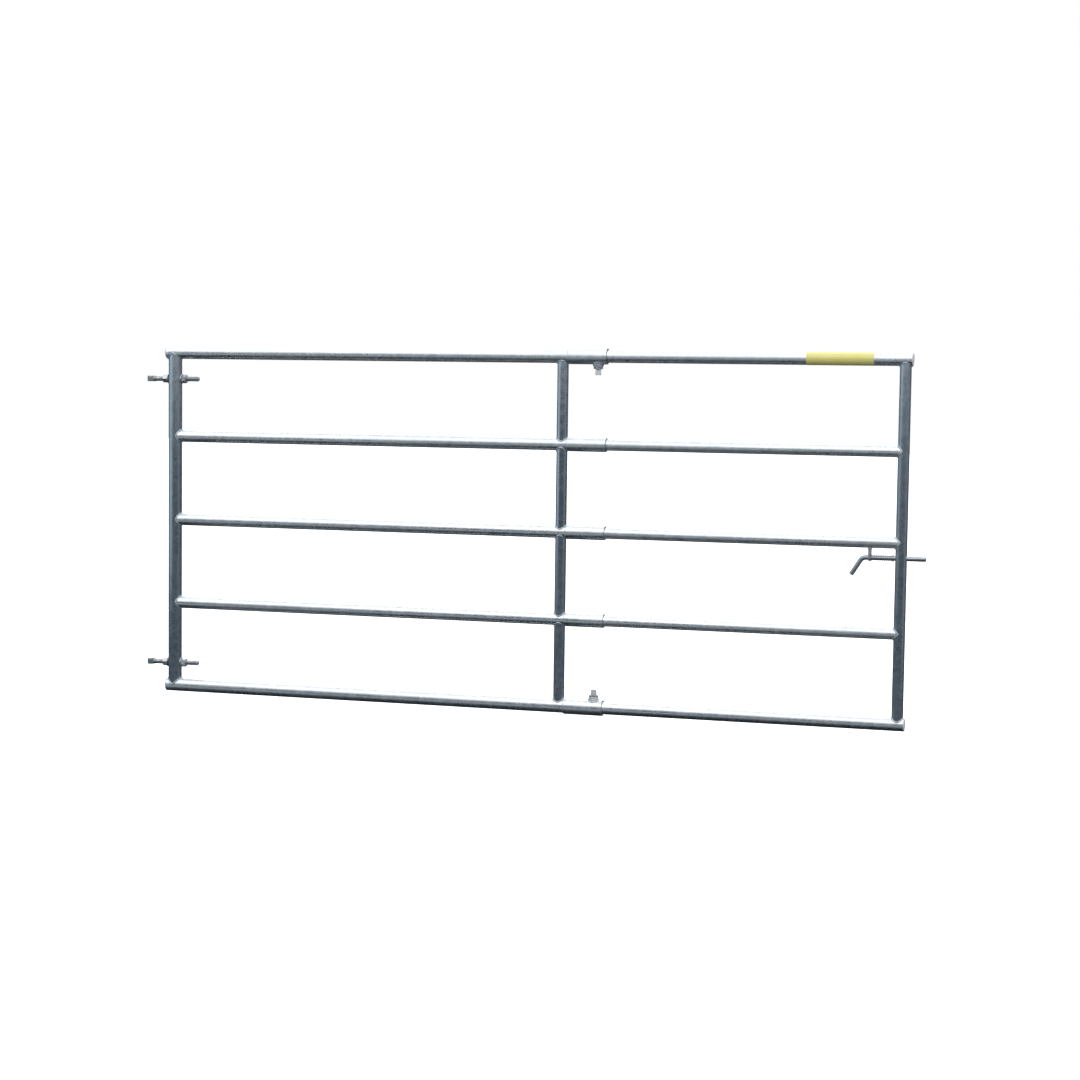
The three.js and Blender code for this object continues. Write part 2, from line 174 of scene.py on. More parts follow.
def galvanised(name, axis, tone=(0.63, 0.665, 0.69), dull=(0.55, 0.59, 0.62), rough=(0.26, 0.33), grain=0.76, metallic=1.0):
    """Hot-dip zinc on drawn tube: spangle cells, a dull patina, runs along the tube, and drawing grain that spreads reflections round the tube."""
    m = Nodes(name)
    stretch = {"X": (0.22, 1, 1), "Y": (1, 0.22, 1), "Z": (1, 1, 0.22)}[axis]
    along = m.scaled(*stretch)
    # spangle: zinc crystals a centimetre or so across, each with its own brightness
    cell = m.voronoi(95.0)
    cell_value = m.add("ShaderNodeSeparateColor")
    m.link(cell, cell_value.inputs[0])
    small = m.voronoi(260.0)
    small_value = m.add("ShaderNodeSeparateColor")
    m.link(small, small_value.inputs[0])
    spangle = m.math("ADD", m.math("MULTIPLY", cell_value.outputs[0], 0.65), m.math("MULTIPLY", small_value.outputs[1], 0.35))
    # patina: cloudy, long along the tube
    patina = m.remap(m.noise(7.0, 5.0, 0.6, along, 0.4), 0.36, 0.66, 0.0, 1.0)
    runs = m.remap(m.noise(38.0, 4.0, 0.65, along), 0.52, 0.74, 0.0, 1.0)
    colour = m.mix(patina, tone, dull)
    bright = m.mix(m.remap(spangle, 0.15, 0.85, 0.0, 1.0), (0.91, 0.91, 0.92), (1.07, 1.07, 1.06))
    colour = m.mix(1.0, colour, bright, "MULTIPLY")
    colour = m.mix(m.math("MULTIPLY", runs, 0.18), colour, (0.76, 0.79, 0.81))
    # faint darker specks where dust and rain have sat
    specks = m.remap(m.noise(420.0, 2.0, 0.5), 0.66, 0.78, 0.0, 0.22)
    colour = m.mix(specks, colour, (0.36, 0.38, 0.39))
    m.link(colour, m.bsdf.inputs["Base Color"])
    r = m.math("ADD", m.remap(patina, 0, 1, rough[0], rough[1]), m.remap(spangle, 0.1, 0.9, -0.025, 0.03))
    m.link(m.math("ADD", r, m.math("MULTIPLY", runs, -0.05)), m.bsdf.inputs["Roughness"])
    edges = m.voronoi(95.0, "DISTANCE_TO_EDGE", out="Distance")
    n = m.bump(m.remap(edges, 0.0, 0.06, 0.0, 1.0), 0.05, 0.00012)
    n = m.bump(m.noise(30.0, 3.0, 0.5, along), 0.07, 0.00040, n)
    n = m.bump(m.noise(900.0, 2.0, 0.5), 0.05, 0.00012, n)
    m.link(n, m.bsdf.inputs["Normal"])
    m.set(Metallic=metallic, Anisotropic=grain)
    t = m.add("ShaderNodeTangent", direction_type="RADIAL", axis=axis)
    m.link(t.outputs[0], m.bsdf.inputs["Tangent"])
    return m.mat


def weld_metal(name):
    """Weld run under zinc: rippled, a little brighter and rougher than the tube."""
    m = Nodes(name)
    cloud = m.noise(160.0, 4.0, 0.6)
    colour = m.mix(m.remap(cloud, 0.35, 0.7, 0, 1), (0.52, 0.55, 0.58), (0.36, 0.39, 0.42))
    m.link(colour, m.bsdf.inputs["Base Color"])
    m.link(m.remap(cloud, 0.3, 0.7, 0.46, 0.62), m.bsdf.inputs["Roughness"])
    n = m.bump(m.noise(700.0, 3.0, 0.6), 0.35, 0.0003)
    m.link(n, m.bsdf.inputs["Normal"])
    m.set(Metallic=0.9)
    return m.mat


def plated(name, tone, dark, rough=(0.26, 0.42), wear=(0.72, 0.74, 0.75), metallic=0.96):
    """Zinc-plated fastener: fine mottling, rubbed bright on the edges and duller in broad patches."""
    m = Nodes(name)
    mottle = m.noise(240.0, 5.0, 0.62)
    broad = m.noise(55.0, 3.0, 0.5)
    colour = m.mix(m.remap(mottle, 0.34, 0.68, 0, 1), tone, dark)
    colour = m.mix(m.remap(broad, 0.55, 0.75, 0, 0.45), colour, (dark[0] * 0.7, dark[1] * 0.68, dark[2] * 0.64))
    geo = m.add("ShaderNodeNewGeometry")
    edge = m.remap(geo.outputs["Pointiness"], 0.52, 0.60, 0.0, 0.8)
    colour = m.mix(edge, colour, wear)
    m.link(colour, m.bsdf.inputs["Base Color"])
    m.link(m.remap(mottle, 0.3, 0.7, rough[0], rough[1]), m.bsdf.inputs["Roughness"])
    m.link(m.bump(m.noise(1100.0, 3.0, 0.6), 0.2, 0.00012), m.bsdf.inputs["Normal"])
    m.set(Metallic=metallic)
    return m.mat


def moulded(name):
    """Grey polyethylene plug: satin, with fine moulding grain, dust and scuffs."""
    m = Nodes(name)
    dust = m.remap(m.noise(70.0, 5.0, 0.6), 0.5, 0.8, 0.0, 0.5)
    colour = m.mix(dust, (0.62, 0.64, 0.65), (0.47, 0.48, 0.48))
    scuff = m.remap(m.noise(300.0, 2.0, 0.5, m.scaled(1, 0.15, 1)), 0.66, 0.74, 0.0, 0.5)
    colour = m.mix(scuff, colour, (0.70, 0.71, 0.71))
    m.link(colour, m.bsdf.inputs["Base Color"])
    m.link(m.remap(dust, 0, 0.5, 0.42, 0.7), m.bsdf.inputs["Roughness"])
    m.link(m.bump(m.noise(1500.0, 2.0, 0.5), 0.25, 0.0001), m.bsdf.inputs["Normal"])
    m.set(Metallic=0.0)
    return m.mat


def vinyl(name):
    """Blank yellow vinyl band: slightly uneven ink, scuffs, dirt and fine film wrinkles."""
    m = Nodes(name)
    along = m.scaled(0.3, 1, 1)
    fade = m.remap(m.noise(16.0, 4.0, 0.6), 0.3, 0.75, 0.0, 1.0)
    colour = m.mix(fade, (0.62, 0.57, 0.16), (0.68, 0.63, 0.235))
    dirt = m.remap(m.noise(60.0, 6.0, 0.68, along), 0.56, 0.78, 0.0, 0.45)
    colour = m.mix(dirt, colour, (0.37, 0.34, 0.17))
    scratch = m.remap(m.noise(420.0, 2.0, 0.5, m.scaled(0.06, 1, 1)), 0.69, 0.74, 0.0, 0.6)
    colour = m.mix(scratch, colour, (0.86, 0.83, 0.52))
    m.link(colour, m.bsdf.inputs["Base Color"])
    m.link(m.math("ADD", m.remap(dirt, 0, 0.45, 0.34, 0.55), m.math("MULTIPLY", scratch, 0.2)), m.bsdf.inputs["Roughness"])
    n = m.bump(m.noise(26.0, 3.0, 0.5, m.scaled(1, 0.4, 0.4)), 0.25, 0.0004)
    m.link(m.bump(m.noise(800.0, 2.0, 0.5), 0.08, 0.0001, n), m.bsdf.inputs["Normal"])
    m.set(Metallic=0.0, Coat_Weight=0.25, Coat_Roughness=0.25)
    return m.mat


MAT = {
    "rail": galvanised("galvanised_rail", "X"),
    "rail_small": galvanised("galvanised_inner_rail", "X", (0.63, 0.665, 0.69), (0.56, 0.60, 0.63), (0.27, 0.35), 0.78, 0.96),
    "sleeve": galvanised("galvanised_sleeve", "X", (0.62, 0.655, 0.68), (0.55, 0.59, 0.62), (0.25, 0.33)),
    "upright": galvanised("galvanised_upright", "Z", (0.58, 0.64, 0.695), (0.51, 0.57, 0.625), (0.27, 0.37), 0.74),
    "plate": galvanised("galvanised_plate", "X", (0.56, 0.60, 0.63), (0.46, 0.50, 0.53), (0.34, 0.48), 0.0),
    "bar": galvanised("galvanised_bar", "X", (0.34, 0.37, 0.40), (0.27, 0.295, 0.32), (0.28, 0.40), 0.2),
    "weld": weld_metal("galvanised_weld"),
    "bolt": plated("plated_hardware", (0.42, 0.44, 0.46), (0.29, 0.31, 0.33), (0.28, 0.44), (0.62, 0.64, 0.65)),
    "eye": plated("forged_eye", (0.30, 0.32, 0.34), (0.20, 0.215, 0.23), (0.38, 0.52), (0.46, 0.48, 0.49), 0.9),
    "screw": plated("matt_zinc_screw", (0.66, 0.68, 0.69), (0.52, 0.54, 0.55), (0.48, 0.60), (0.78, 0.79, 0.80), 0.5),
    "pin": plated("plated_pin", (0.46, 0.48, 0.50), (0.32, 0.34, 0.35)),
    "spring": plated("spring_wire", (0.36, 0.39, 0.42), (0.24, 0.26, 0.28), (0.24, 0.38)),
    "plug": moulded("grey_plug"),
    "label": vinyl("blank_yellow_vinyl"),
}


# ------------------------------------------------------------------ mesh making
def build(name, verts, faces, mat, sharp=32.0):
    """A mesh object with its faces turned out, smooth but for edges sharper than the angle given."""
    mesh = bpy.data.meshes.new(name)
    mesh.from_pydata([tuple(map(float, v)) for v in verts], [], [tuple(map(int, f)) for f in faces])
    mesh.validate()
    volume = 0.0
    co = np.asarray(verts, float)
    for f in faces:
        for i in range(1, len(f) - 1):
            volume += np.dot(co[f[0]], np.cross(co[f[i]], co[f[i + 1]]))
    if volume < 0:
        mesh.flip_normals()
    mesh.polygons.foreach_set("use_smooth", [True] * len(mesh.polygons))
    mesh.set_sharp_from_angle(angle=math.radians(sharp))
    mesh.update()
    o = bpy.data.objects.new(name, mesh)
    bpy.context.scene.collection.objects.link(o)
    mesh.materials.append(MAT[mat])
    return o


def grid(P, close_u=True, close_v=False, cap0=False, cap1=False):
    """Vertices and quads of a grid of points P[u][v]. close_u joins the last row to the first. cap0 and cap1 close the ends of an open v."""
    P = np.asarray(P, float)
    nu, nv = P.shape[:2]
    verts = P.reshape(-1, 3)
    faces = []
    for u in range(nu if close_u else nu - 1):
        a, b = u * nv, ((u + 1) % nu) * nv
        for v in range(nv if close_v else nv - 1):
            w = (v + 1) % nv
            faces.append((a + v, b + v, b + w, a + w))
    if cap0:
        faces.append([u * nv for u in range(nu)][::-1])
    if cap1:
        faces.append([u * nv + nv - 1 for u in range(nu)])
    return verts, faces


AXES = {
    "x": (np.array([1.0, 0, 0]), np.array([0, 1.0, 0]), np.array([0, 0, 1.0])),
    "y": (np.array([0, 1.0, 0]), np.array([0, 0, 1.0]), np.array([1.0, 0, 0])),
    "z": (np.array([0, 0, 1.0]), np.array([1.0, 0, 0]), np.array([0, 1.0, 0])),
}


def turned(at, axis, profile, n=64):
    """Points of a closed profile [(r, s)] turned about an axis through at, in millimetres for r and s."""
    d, e, f = AXES[axis]
    P = []
    for i in range(n):
        a = TAU * i / n
        radial = math.cos(a) * e + math.sin(a) * f
        P.append([at + MM * (r * radial + s * d) for r, s in profile])
    return P


def lathe(name, at, axis, profile, mat, n=64, sharp=32.0, flip=1):
    """A turned solid. A profile that starts and ends on r = 0 is capped there by a small fan."""
    profile = [(r, flip * s) for r, s in profile]
    solid = profile[0][0] == 0 and profile[-1][0] == 0
    if solid:
        rim = [p for p in profile if p[0] > 0]
        verts, faces = grid(turned(at, axis, rim, n))
        d = AXES[axis][0]
        verts = list(verts) + [at + MM * profile[0][1] * d, at + MM * profile[-1][1] * d]
        k, m = len(rim), len(verts)
        for i in range(n):
            j = (i + 1) % n
            faces.append((m - 2, j * k, i * k))
            faces.append((m - 1, i * k + k - 1, j * k + k - 1))
        return build(name, verts, faces, mat, sharp)
    verts, faces = grid(turned(at, axis, profile, n), close_v=True)
    return build(name, verts, faces, mat, sharp)


def saddle(R, r, a, gap=0.0):
    """How far from the axis of a crossing cylinder of radius R a tube of radius r starts, where a is the angle from that axis's direction."""
    return math.sqrt(max((R + gap) ** 2 - (r * math.sin(a)) ** 2, 0.0))


def tube(name, axis, at, ro, ri, s0, s1, mat, n=72, lip=0.35, cut0=None, cut1=None):
    """A hollow tube along axis from s0 to s1, in millimetres from at. cut0 or cut1 is the radius of a crossing tube that it is fish-mouthed onto, and s0 or s1 is then that tube's axis.
    The crossing tube lies along Z for a tube along X, and along X for one along Z."""
    d, e, f = AXES[axis]
    cross = np.array([0, 0, 1.0]) if axis == "x" else np.array([1.0, 0, 0])
    P = []
    for i in range(n):
        a = TAU * i / n
        radial = math.cos(a) * e + math.sin(a) * f
        phi = math.acos(max(-1, min(1, float(radial @ cross))))

        def start(r):
            return s0 if cut0 is None else s0 + saddle(cut0, r, phi, 0.05)

        def stop(r):
            return s1 if cut1 is None else s1 - saddle(cut1, r, phi, 0.05)

        l0 = lip if cut0 is None else 0.0
        l1 = lip if cut1 is None else 0.0
        row = []
        row.append((ro - l0, start(ro - l0)))
        if l0:
            row += [(ro - 0.3 * l0, start(ro) + 0.3 * l0), (ro, start(ro) + l0)]
        a0, a1 = start(ro) + (l0 or 1.5), stop(ro) - (l1 or 1.5)
        row += [(ro, a0 + (a1 - a0) * t) for t in np.linspace(0.01, 0.99, 9)]
        if l1:
            row += [(ro, stop(ro) - l1), (ro - 0.3 * l1, stop(ro) - 0.3 * l1)]
        row.append((ro - l1, stop(ro - l1)))
        row.append((ri + l1, stop(ri + l1)))
        if l1:
            row.append((ri, stop(ri) - l1))
        row += [(ri, a1 + (a0 - a1) * t) for t in (0.05, 0.5, 0.95)]
        if l0:
            row.append((ri, start(ri) + l0))
        row.append((ri + l0, start(ri + l0)))
        P.append([at + MM * (r * radial + s * d) for r, s in row])
    verts, faces = grid(P, close_v=True)
    return build(name, verts, faces, mat)


def sweep(points, radii, closed, n=12, up=None):
    """Points of a round sweep along a path, with a radius at each station."""
    pts = np.asarray(points, float)
    m = len(pts)
    rows = []
    for i in range(m):
        a = pts[(i - 1) % m] if closed or i > 0 else pts[0]
        b = pts[(i + 1) % m] if closed or i < m - 1 else pts[-1]
        t = b - a
        t /= np.linalg.norm(t)
        ref = up[i] if up is not None else np.array([0, 0, 1.0])
        if abs(t @ ref) > 0.97 and up is None:
            ref = np.array([0, 1.0, 0])
        x = np.cross(t, ref)
        x /= np.linalg.norm(x)
        y = np.cross(x, t)
        rows.append([pts[i] + radii[i] * (math.cos(TAU * k / n) * x + math.sin(TAU * k / n) * y) for k in range(n)])
    # rows are stations; turn them so that u goes round the section
    return np.transpose(np.array(rows), (1, 0, 2))


def bead(name, path, normals, mat="weld", width=2.7, seed=0, ripple=2.1):
    """A closed weld run along a path in millimetres: overlapping ripples, and slow changes of width."""
    pts = np.asarray(path, float)
    m = len(pts)
    step = np.linalg.norm(np.roll(pts, -1, 0) - pts, axis=1)
    s = np.concatenate([[0], np.cumsum(step)])[:-1]
    total = step.sum()
    count = max(8, round(total / ripple))
    radii = []
    for i in range(m):
        f = (s[i] / total * count) % 1.0
        scallop = math.sqrt(max(0.0, 1 - (1.3 * f - 0.45) ** 2))
        slow = 0.5 * math.sin(TAU * 3 * s[i] / total + seed) + 0.5 * math.sin(TAU * 7 * s[i] / total + 2.3 * seed + 1)
        radii.append(MM * width * (0.84 + 0.17 * scallop + 0.07 * slow))
    P = sweep(MM * pts, radii, True, 10, normals)
    verts, faces = grid(P, close_u=True, close_v=True)
    return build(name, verts, faces, mat, 60)


def joint_bead(name, at, d, c, r, R, body, width=2.1, seed=0, n=200):
    """The weld where a tube of radius r, leaving along d, meets a tube of radius R whose axis is c. at is where the axes cross."""
    d, c = np.array(d, float), np.array(c, float)
    e = np.cross(d, c)
    path, normals = [], []
    for i in range(n):
        a = TAU * i / n
        radial = math.cos(a) * c + math.sin(a) * e
        s = math.sqrt(max((R + 0.1) ** 2 - (r * math.sin(a)) ** 2, 0.0))
        # the middle of the run stands a little off both walls
        path.append(np.array(at) / MM + radial * (r + 0.35) + d * (s + 0.45))
        normals.append(radial)
    # even out the stations along the run
    pts = np.array(path + [path[0]])
    s = np.concatenate([[0], np.cumsum(np.linalg.norm(np.diff(pts, axis=0), axis=1))])
    t = np.linspace(0, s[-1], n + 1)[:-1]
    even = np.stack([np.interp(t, s, pts[:, k]) for k in range(3)], 1)
    nrm = np.array(normals + [normals[0]])
    even_n = np.stack([np.interp(t, s, nrm[:, k]) for k in range(3)], 1)
    even_n /= np.linalg.norm(even_n, axis=1)[:, None]
    o = bead(name, even, even_n, width=width, seed=seed)
    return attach(o, body)


def ring_bead(name, at, axis, r, body, width=2.0, seed=0, n=180, dip=None):
    """A weld run round a tube. dip gives an offset along the axis for each angle, in millimetres."""
    d, e, f = AXES[axis]
    path, normals = [], []
    for i in range(n):
        a = TAU * i / n
        radial = math.cos(a) * e + math.sin(a) * f
        path.append(np.array(at) / MM + r * radial + (dip(a) if dip else 0) * d)
        normals.append(radial)
    o = bead(name, path, np.array(normals), width=width, seed=seed)
    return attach(o, body)


def stands_for(piece, node, *more):
    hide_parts(node, *more)
    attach(piece, BODY[node])
    return piece


# ------------------------------------------------------------------ the frame's own sizes
ROWS = ("bottom", "lower", "middle", "upper", "top")
OUTER = ("bottom", "top")


def rail_facts(node):
    """Axis height in metres, outer radius in millimetres, low and high X in millimetres."""
    lo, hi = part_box(node)
    return (lo[2] + hi[2]) / 2, (hi[1] - lo[1]) / 2 / MM, lo[0] / MM, hi[0] / MM


HINGE_X = centre("hinge_stile")[0]
MIDDLE_X = centre("middle_upright_top")[0]
LATCH_X = centre("latch_stile")[0]
R_HINGE = size("hinge_stile")[1] / 2 / MM
R_MIDDLE = size("middle_upright_top")[1] / 2 / MM
R_LATCH = size("latch_stile")[1] / 2 / MM
WALL = 1.5

# ------------------------------------------------------------------ rails and sleeves
Z, R_FIXED, R_SLIDE = {}, {}, {}
for k, row in enumerate(ROWS):
    z, ro, x0, x1 = rail_facts(f"fixed_{row}_rail")
    Z[row], R_FIXED[row] = z, ro
    at = np.array([0, 0, z])
    outer = row in OUTER
    o = tube(
        f"rail_fixed_{row}", "x", at, ro, ro - WALL,
        x0 if outer else HINGE_X / MM, x1, "rail",
        cut0=None if outer else R_HINGE,
    )
    stands_for(o, f"fixed_{row}_rail")

    z, ro, x0, x1 = rail_facts(f"sliding_{row}_rail")
    R_SLIDE[row] = ro
    o = tube(
        f"rail_sliding_{row}", "x", at, ro, ro - WALL,
        x0, x1 if outer else LATCH_X / MM, "rail" if outer else "rail_small",
        cut1=None if outer else R_LATCH,
    )
    stands_for(o, f"sliding_{row}_rail")

    z, ro, x0, x1 = rail_facts(f"{row}_guide_sleeve")
    o = tube(f"sleeve_{row}", "x", at, ro, R_FIXED[row] + 0.12, x0, x1, "sleeve", lip=0.6)
    stands_for(o, f"{row}_guide_sleeve")
    # the run that closes the sleeve's far end onto the fixed rail, round the foot of the upright
    ring_bead(f"weld_sleeve_{row}", (x0 * MM - 0.0004, 0, z), "x", R_FIXED[row] + 1.0, "hinge_frame", 1.5, k)

# ------------------------------------------------------------------ uprights
base = np.array([HINGE_X, 0, 0])
o = tube("stile_hinge", "z", base, R_HINGE, R_HINGE - 2, Z["bottom"] / MM, Z["top"] / MM, "upright", n=96, cut0=R_FIXED["bottom"], cut1=R_FIXED["top"])
stands_for(o, "hinge_stile")
base = np.array([LATCH_X, 0, 0])
o = tube("stile_latch", "z", base, R_LATCH, R_LATCH - 2, Z["bottom"] / MM, Z["top"] / MM, "upright", n=96, cut0=R_SLIDE["bottom"], cut1=R_SLIDE["top"])
stands_for(o, "latch_stile")
base = np.array([MIDDLE_X, 0, 0])
for low, high, node in (("bottom", "lower", "bottom"), ("lower", "middle", "lower"), ("middle", "upper", "upper"), ("upper", "top", "top")):
    o = tube(f"upright_{low}_{high}", "z", base, R_MIDDLE, R_MIDDLE - WALL, Z[low] / MM, Z[high] / MM, "upright", cut0=R_FIXED[low], cut1=R_FIXED[high])
    stands_for(o, f"middle_upright_{node}")

UP, DOWN, RIGHT, LEFT = (0, 0, 1), (0, 0, -1), (1, 0, 0), (-1, 0, 0)
seed = 0
for row, d in (("bottom", UP), ("top", DOWN)):
    joint_bead(f"weld_hinge_stile_{row}", (HINGE_X, 0, Z[row]), d, RIGHT, R_HINGE, R_FIXED[row], "hinge_frame", seed=seed)
    joint_bead(f"weld_latch_stile_{row}", (LATCH_X, 0, Z[row]), d, RIGHT, R_LATCH, R_SLIDE[row], "slide_frame", seed=seed + 1)
    seed += 2
for row in ("lower", "middle", "upper"):
    joint_bead(f"weld_hinge_{row}", (HINGE_X, 0, Z[row]), RIGHT, UP, R_FIXED[row], R_HINGE, "hinge_frame", seed=seed)
    joint_bead(f"weld_latch_{row}", (LATCH_X, 0, Z[row]), LEFT, UP, R_SLIDE[row], R_LATCH, "slide_frame", seed=seed + 1)
    seed += 2
for row in ROWS:
    for d, word in ((UP, "over"), (DOWN, "under")):
        if (row, word) in (("bottom", "under"), ("top", "over")):
            continue
        joint_bead(f"weld_middle_{row}_{word}", (MIDDLE_X, 0, Z[row]), d, RIGHT, R_MIDDLE, R_FIXED[row], "hinge_frame", width=2.0, seed=seed)
        seed += 1

# ------------------------------------------------------------------ end plugs
# Moulded plugs: a rounded flange with a shallow dish in its face, and a ribbed spigot in the tube.
for row in OUTER:
    for node, flip in ((f"{row}_hinge_end_plug", -1), (f"{row}_latch_end_plug", 1)):
        lo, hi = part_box(node)
        r = (hi[1] - lo[1]) / 2 / MM
        face = hi[0] if flip > 0 else lo[0]
        at = np.array([face, 0, Z[row]])
        s = r - WALL - 0.15
        profile = [(0, -15)]
        for q in (-13.5, -10, -6.5):
            profile += [(s - 0.9, q), (s - 0.05, q + 0.7), (s - 0.05, q + 1.5), (s - 0.9, q + 2.2)]
        profile += [(s - 0.5, -2.85), (r, -2.85), (r, -1.5), (r - 0.25, -0.75), (r - 0.9, -0.2), (r - 2.0, 0.0),
                    (r - 4.2, 0.0), (r - 5.2, -0.25), (r - 6.0, -0.75), (r - 7.2, -0.95), (3.2, -0.95), (2.6, -0.75), (0, -0.7)]
        o = lathe(f"plug_{node}", at, "x", profile, "plug", 72, flip=flip)
        stands_for(o, node)

# ------------------------------------------------------------------ threads, nuts and washers
PITCH = 2.0


def threaded(name, at, axis, r, s0, s1, mat, n=40, chamfer0=1.6, chamfer1=1.6, core=0.0, per=9):
    """A screw thread of rounded 60 degree form from s0 to s1 along the axis. core is a length at s0 that stays plain."""
    d, e, f = AXES[axis]
    depth = 1.15
    count = int((s1 - s0) / PITCH * per) + 1
    stations = np.linspace(s0, s1, count)
    P = []
    for i in range(n):
        a = TAU * i / n
        radial = math.cos(a) * e + math.sin(a) * f
        row = []
        for s in stations:
            u = (s / PITCH - a / TAU) % 1.0
            tri = abs(2 * u - 1)
            cut = depth * max(0.0, min(1.0, (tri - 0.12) / 0.76))
            q = r - cut
            q = min(q, r - 1.7 + (s1 - s) * (1.7 / chamfer1)) if chamfer1 else q
            if core:
                blend = max(0.0, min(1.0, (s - s0 - core) / (1.5 * PITCH)))
                q = (r - 0.12) * (1 - blend) + q * blend
            elif chamfer0:
                q = min(q, r - 1.7 + (s - s0) * (1.7 / chamfer0))
            row.append(at + MM * (max(q, 0.3) * radial + s * d))
        P.append(row)
    P = np.array(P)
    verts, faces = grid(P)
    k, m = P.shape[1], len(verts)
    verts = list(verts) + [at + MM * s0 * d, at + MM * s1 * d]
    for i in range(n):
        j = (i + 1) % n
        faces.append((m, j * k, i * k))
        faces.append((m + 1, i * k + k - 1, j * k + k - 1))
    return build(name, verts, faces, mat, 50)


def hex_nut(name, at, axis, flats, height, bore, mat, top=True, bottom=True, turn=0.0, n=96, s_from=None):
    """A hexagon nut centred on at: flats joined by the arcs that the end chamfers cut, and a countersunk bore."""
    d, e, f = AXES[axis]
    h = height / 2
    apothem = flats / 2
    r0 = apothem * 0.955
    P = []
    for i in range(n):
        a = TAU * i / n
        local = (a + math.pi / 6) % (math.pi / 3) - math.pi / 6
        corner = apothem / math.cos(local)
        radial = math.cos(a + turn) * e + math.sin(a + turn) * f
        drop = (corner - r0) * math.tan(math.radians(30))
        hi = h - (drop if top else 0.02)
        lo = -h + (drop if bottom else 0.02)
        soft = 0.22
        row = [
            (bore, -h + 1.3), (bore + 1.1, -h), (r0 if bottom else corner - soft, -h),
            (corner - soft, lo - 0.55 * soft if bottom else -h), (corner, lo + soft),
            (corner, hi - soft), (corner - soft, hi + 0.55 * soft if top else h),
            (r0 if top else corner - soft, h), (bore + 1.1, h), (bore, h - 1.3),
        ]
        P.append([at + MM * (r * radial + s * d) for r, s in row])
    verts, faces = grid(P, close_v=True)
    return build(name, verts, faces, mat, 22)


def washer(name, at, axis, ro, ri, thick, mat):
    h = thick / 2
    c = min(0.5, thick * 0.25)
    profile = [(ri, -h + 0.2), (ri + 0.3, -h), (ro - c, -h), (ro - 0.3 * c, -h + 0.3 * c), (ro, -h + c),
               (ro, h - c), (ro - 0.3 * c, h - 0.3 * c), (ro - c, h), (ri + 0.3, h), (ri, h - 0.2)]
    return lathe(name, at, axis, profile, mat, 64)


for word in ("lower", "upper"):
    node = f"{word}_hinge_eye_bolt"
    lo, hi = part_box(node)
    eye_r = (hi[1] - lo[1]) / 2 / MM
    height = (hi[2] - lo[2]) / MM
    z = (lo[2] + hi[2]) / 2
    at = np.array([lo[0] + eye_r * MM, 0, z])
    # forged eye: a barrel ring with rounded edges and a countersunk hole
    h, c, hole = height / 2, 1.3, 8.5
    profile = [(hole, -h + 0.8), (hole + 0.7, -h), (eye_r - c, -h), (eye_r - 0.3 * c, -h + 0.3 * c), (eye_r, -h + c), (eye_r, -h * 0.3),
               (eye_r, h * 0.3), (eye_r, h - c), (eye_r - 0.3 * c, h - 0.3 * c), (eye_r - c, h), (hole + 0.7, h), (hole, h - 0.8)]
    eye = lathe(f"hinge_eye_{word}", at, "z", profile, "eye", 72)
    stands_for(eye, node)
    # neck, flared into the eye
    neck = lathe(f"hinge_neck_{word}", at, "x", [(0, 9.8), (8.5, 9.8), (8.75, 11.4), (8.7, 12.6), (8.3, 14.0), (7.95, 16.5), (7.75, 20.0), (7.7, 26.0), (0, 26.0)], "eye", 48)
    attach(neck, "hinge_frame")
    rod = threaded(f"hinge_thread_{word}", at, "x", 7.85, 24.0, (hi[0] - at[0]) / MM, "bolt", core=3.0)
    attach(rod, "hinge_frame")
    for k, side in enumerate(("outer", "inner")):
        node = f"{word}_hinge_{side}_nut"
        o = hex_nut(f"nut_{word}_{side}", centre(node), "x", 24, size(node)[0] / MM, 7.2, "bolt", turn=0.35 + 0.5 * k + (0.2 if word == "upper" else 0))
        stands_for(o, node)
        node = f"{word}_hinge_{side}_washer"
        o = washer(f"washer_{word}_{side}", centre(node), "x", 15, 8.6, size(node)[0] / MM, "bolt")
        stands_for(o, node)

